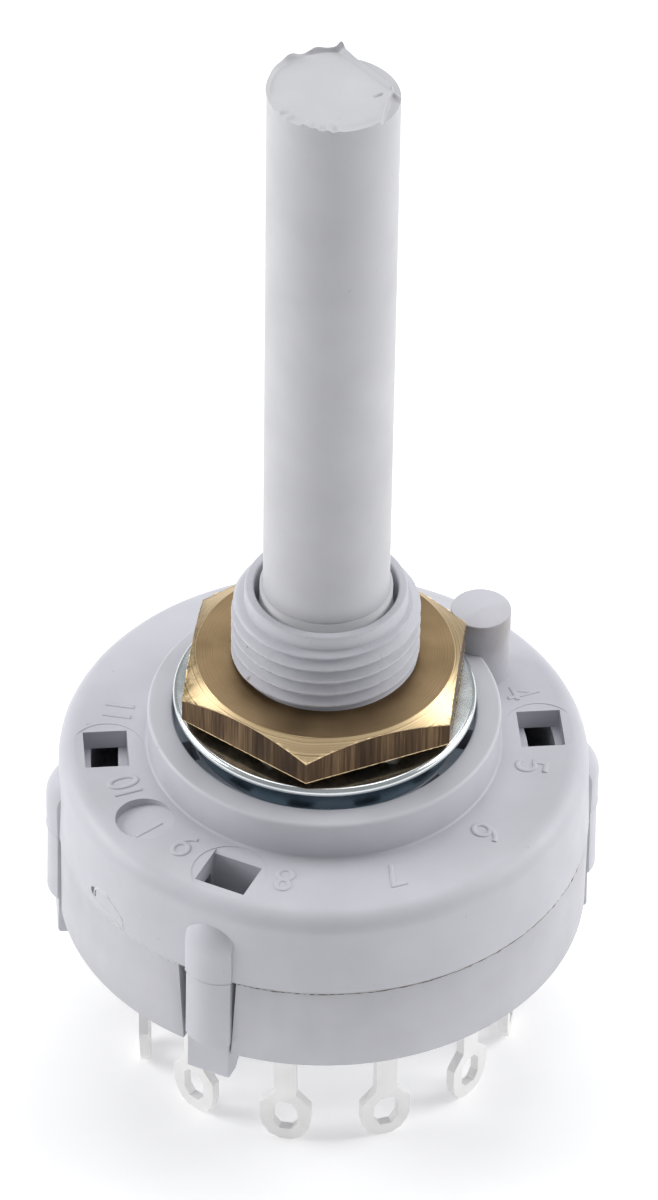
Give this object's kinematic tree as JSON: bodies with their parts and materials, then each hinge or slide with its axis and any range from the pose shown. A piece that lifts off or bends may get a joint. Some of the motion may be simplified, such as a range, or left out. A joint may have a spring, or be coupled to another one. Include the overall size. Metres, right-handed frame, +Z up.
{
  "type": "rotary switch",
  "caption": "Panel mounting rotary switch: long plain spindle, threaded bush with nut, round moulded body with snap clips and a ring of solder lugs.",
  "frame": {"origin": "on the spindle's axis, in the plane of the seat that meets the back of the panel", "axes": "+Z up the spindle, away from the body; dial number n stands at 140 degrees minus 30 n from +X, anticlockwise seen from above; the locating peg is at 35 degrees"},
  "size_m": [0.0284, 0.0274, 0.0597],
  "materials": {
    "housing_plastic": "fine matt moulded surface, light grey",
    "base_plastic": "fine matt moulded surface, light grey",
    "spindle_plastic": "smooth satin moulded surface, light grey",
    "ball_steel": "polished",
    "spring_steel": "drawn wire",
    "plated_contact": "silver plated, bright",
    "zinc_plated_steel": "bright zinc with a bluish tint",
    "nut_brass": "turned faces, sawn flats with brown marks"
  },
  "bodies": {
    "switch_body": {"housing": "housing_plastic", "contact_base": "base_plastic", "terminal_01": "plated_contact", "terminal_02": "plated_contact", "terminal_03": "plated_contact", "terminal_04": "plated_contact", "terminal_05": "plated_contact", "terminal_06": "plated_contact", "terminal_07": "plated_contact", "terminal_08": "plated_contact", "terminal_09": "plated_contact", "terminal_10": "plated_contact", "terminal_11": "plated_contact", "terminal_12": "plated_contact", "common_terminal": "plated_contact", "stop_ring": "zinc_plated_steel", "lock_washer": "zinc_plated_steel", "hex_nut": "nut_brass"},
    "rotor": {"spindle": "spindle_plastic", "wiper": "plated_contact", "detent_spring": "spring_steel"},
    "ball_a": {"detent_ball_a": "ball_steel"},
    "ball_b": {"detent_ball_b": "ball_steel"}
  },
  "joints": [
    {"name": "spindle_turn", "type": "hinge", "parent": "switch_body", "child": "rotor", "pos_m": [0, 0, 0], "axis": [0, 0, 1], "range_deg": [-330, 0]},
    {"name": "ball_a_travel", "type": "slide", "parent": "rotor", "child": "ball_a", "axis": [0.9397, 0.342, 0], "range_m": [0, 0.00033]},
    {"name": "ball_b_travel", "type": "slide", "parent": "rotor", "child": "ball_b", "axis": [-0.9397, -0.342, 0], "range_m": [0, 0.00033]}
  ]
}
